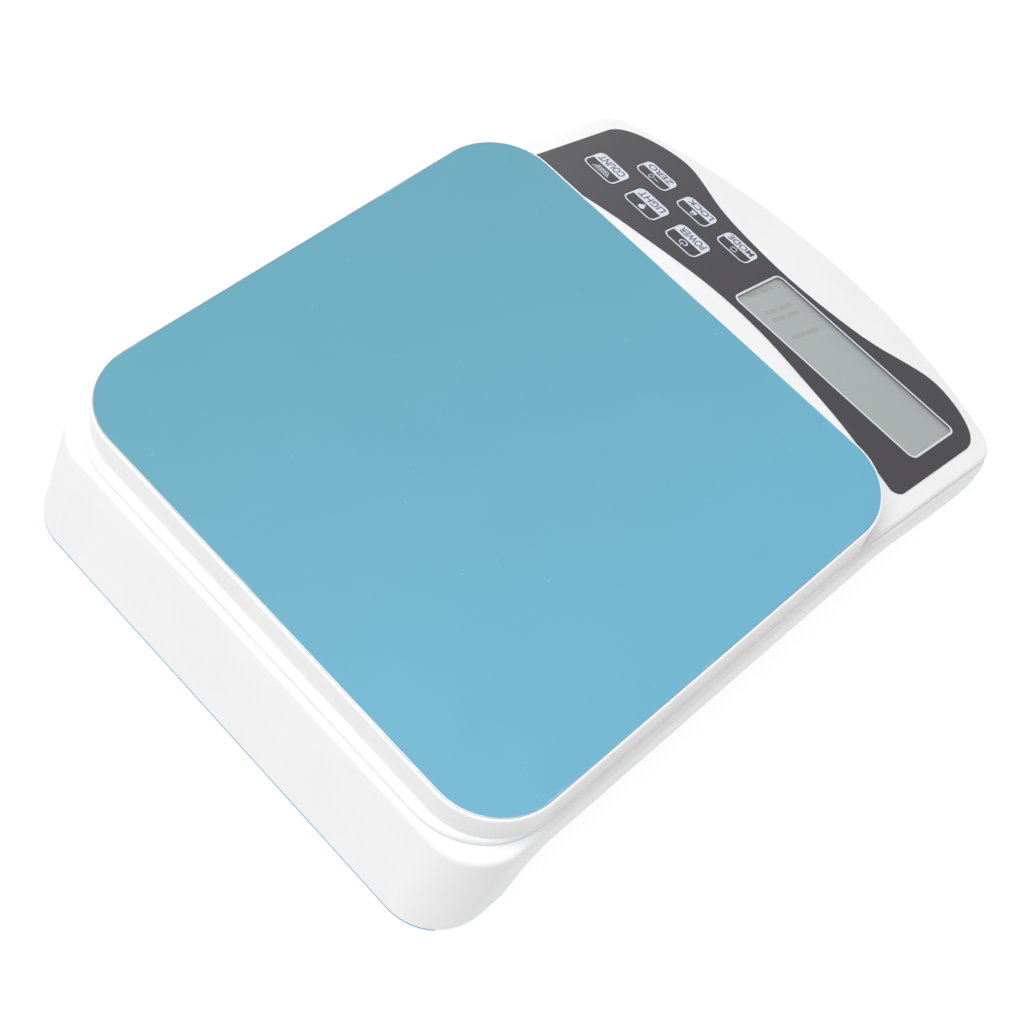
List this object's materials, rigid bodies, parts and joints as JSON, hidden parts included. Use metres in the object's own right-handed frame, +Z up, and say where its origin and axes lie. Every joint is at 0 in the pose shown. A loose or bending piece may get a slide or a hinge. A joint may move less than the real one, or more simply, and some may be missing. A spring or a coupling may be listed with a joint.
{
  "type": "digital gram scale",
  "caption": "Low bench scale with a lift-off square platform, a sloped panel with display and push keys, and a battery bay underneath.",
  "frame": {"origin": "on the bench, under the middle of the scale's outer box", "axes": "+X is the user's right, +Y points away from the user, +Z is up"},
  "size_m": [0.1868, 0.2802, 0.051],
  "materials": {
    "white_plastic": "satin moulded",
    "blue_plastic": "moulded",
    "blue_film": "peel-off protective film",
    "brushed_steel": "brushed",
    "charcoal_print": "printed overlay, soft sheen",
    "key_plastic": "printed key cap",
    "clear_window": "clear",
    "display_glass": "liquid crystal, polarised",
    "diffuser": "milky",
    "black_plastic": "moulded",
    "board": "solder mask",
    "silicone": "soft",
    "rubber": "matte",
    "cast_aluminium": "machined",
    "screw_steel": "plated",
    "battery_jacket": "printed sleeve",
    "cable_grey": "insulated"
  },
  "bodies": {
    "housing": {"upper_housing": "white_plastic", "base_cover": "blue_plastic", "case_screws": "screw_steel", "rubber_feet": "rubber", "panel_overlay": "charcoal_print", "display_window": "clear_window", "lcd_frame": "black_plastic", "lcd_glass": "display_glass", "backlight_plate": "diffuser", "elastomer_strips": "silicone", "main_pcb": "board", "pcb_screws": "screw_steel", "controller_chip": "black_plastic", "buzzer": "black_plastic", "cable_connector": "white_plastic", "tact_switches": "black_plastic", "load_cell": "cast_aluminium", "load_cell_spacer": "cast_aluminium", "load_cell_screws": "screw_steel", "gauge_potting": "silicone", "overload_stops": "screw_steel", "load_cell_cable": "cable_grey", "battery_leads": "cable_grey", "battery_cells": "battery_jacket", "battery_contacts": "screw_steel"},
    "load_bridge": {"load_spider": "cast_aluminium", "platform_pads": "rubber", "spider_spacer": "cast_aluminium", "spider_screws": "screw_steel"},
    "platform": {"platform_pan": "white_plastic", "platform_plate": "brushed_steel", "protective_film": "blue_film"},
    "battery_door": {"battery_door": "blue_plastic"},
    "key_power": {"key_power": "key_plastic"},
    "key_light": {"key_light": "key_plastic"},
    "key_count": {"key_count": "key_plastic"},
    "key_mode": {"key_mode": "key_plastic"},
    "key_lock": {"key_lock": "key_plastic"},
    "key_zero": {"key_zero": "key_plastic"}
  },
  "joints": [
    {"name": "load_deflection", "type": "slide", "parent": "housing", "child": "load_bridge", "axis": [0, 0, 1], "range_m": [-0.0003, 0], "stiffness_N_per_m": 40000, "springref_m": 0.0001},
    {"name": "platform_lift_off", "type": "slide", "parent": "load_bridge", "child": "platform", "axis": [0, 0, 1], "range_m": [0, 0.03]},
    {"name": "battery_door_hinge", "type": "hinge", "parent": "housing", "child": "battery_door", "pos_m": [-0.0211, 0.0369, 0.0024], "axis": [0, -1, 0], "range_deg": [0, 70]},
    {"name": "key_power_press", "type": "slide", "parent": "housing", "child": "key_power", "axis": [0, -0.309, 0.9511], "range_m": [-0.0004, 0], "stiffness_N_per_m": 1500},
    {"name": "key_light_press", "type": "slide", "parent": "housing", "child": "key_light", "axis": [0, -0.309, 0.9511], "range_m": [-0.0004, 0], "stiffness_N_per_m": 1500},
    {"name": "key_count_press", "type": "slide", "parent": "housing", "child": "key_count", "axis": [0, -0.309, 0.9511], "range_m": [-0.0004, 0], "stiffness_N_per_m": 1500},
    {"name": "key_mode_press", "type": "slide", "parent": "housing", "child": "key_mode", "axis": [0, -0.309, 0.9511], "range_m": [-0.0004, 0], "stiffness_N_per_m": 1500},
    {"name": "key_lock_press", "type": "slide", "parent": "housing", "child": "key_lock", "axis": [0, -0.309, 0.9511], "range_m": [-0.0004, 0], "stiffness_N_per_m": 1500},
    {"name": "key_zero_press", "type": "slide", "parent": "housing", "child": "key_zero", "axis": [0, -0.309, 0.9511], "range_m": [-0.0004, 0], "stiffness_N_per_m": 1500}
  ]
}
